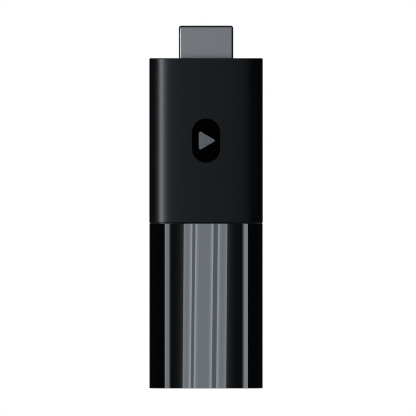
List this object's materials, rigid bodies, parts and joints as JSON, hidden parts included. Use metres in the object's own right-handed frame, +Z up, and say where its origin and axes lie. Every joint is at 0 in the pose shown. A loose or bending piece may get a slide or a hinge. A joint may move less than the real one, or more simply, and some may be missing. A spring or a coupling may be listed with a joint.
{
  "type": "streaming media player",
  "caption": "Slim stick-shaped streaming player: matt upper covers, polished lower cap, a video plug on the top end and a small power socket low on one side.",
  "frame": {"origin": "middle of the flat lower end face of the polished cap", "axes": "+Z up the stick's length towards the video plug, +Y towards the rear cover (the front, with the mark, faces -Y), +X to the right seen from the front"},
  "size_m": [0.0288, 0.0152, 0.0924],
  "materials": {
    "matt_black": "fine matt moulded ABS/PC",
    "gloss_black": "high polish",
    "mark_black": "smooth satin",
    "mark_grey": "smooth satin",
    "plug_steel": "satin nickel plate",
    "tinned": "bright tin plate",
    "insulator": "moulded, satin",
    "gold": "gold flash",
    "board": "solder mask, satin",
    "chip": "moulded epoxy",
    "ferrite": "pressed ferrite",
    "ceramic": "fired ceramic",
    "thermal_pad": "soft gap filler",
    "aluminium": "rolled sheet",
    "foam": "closed-cell foam",
    "lens": "clear moulded",
    "led": "lamp package"
  },
  "bodies": {
    "root": {"gloss_cap": "gloss_black", "front_cover": "matt_black", "rear_cover": "matt_black", "mark_plate": "mark_black", "mark_triangle": "mark_grey", "video_plug_shell": "plug_steel", "video_plug_insulator": "insulator", "video_plug_spacer": "insulator", "video_plug_contacts_front": "gold", "video_plug_contacts_rear": "gold", "main_board": "board", "processor_chip": "chip", "memory_chip": "chip", "storage_chip": "chip", "power_chip": "chip", "front_shield_frame": "tinned", "front_shield_lid": "tinned", "rear_shield_frame": "tinned", "rear_shield_lid": "tinned", "processor_thermal_pad": "thermal_pad", "front_spreader_pad": "thermal_pad", "front_heat_spreader": "aluminium", "storage_thermal_pad": "thermal_pad", "rear_spreader_pad": "thermal_pad", "rear_heat_spreader": "aluminium", "radio_module_board": "board", "radio_module_can": "tinned", "crystal_can": "tinned", "inductor_1": "ferrite", "inductor_2": "ferrite", "inductor_3": "ferrite", "bulk_capacitor_1": "ceramic", "bulk_capacitor_2": "ceramic", "bulk_capacitor_3": "ceramic", "bulk_capacitor_4": "ceramic", "line_filter_1": "ferrite", "line_filter_2": "ferrite", "line_filter_3": "ferrite", "line_filter_4": "ferrite", "wifi_antenna": "tinned", "bluetooth_antenna": "tinned", "power_socket_shell": "tinned", "power_socket_insulator": "insulator", "power_contact_1": "gold", "power_contact_2": "gold", "power_contact_3": "gold", "power_contact_4": "gold", "power_contact_5": "gold", "board_screw_left": "tinned", "board_screw_right": "tinned", "status_lamp": "led", "light_pipe": "lens", "board_cushion": "foam"}
  },
  "joints": []
}
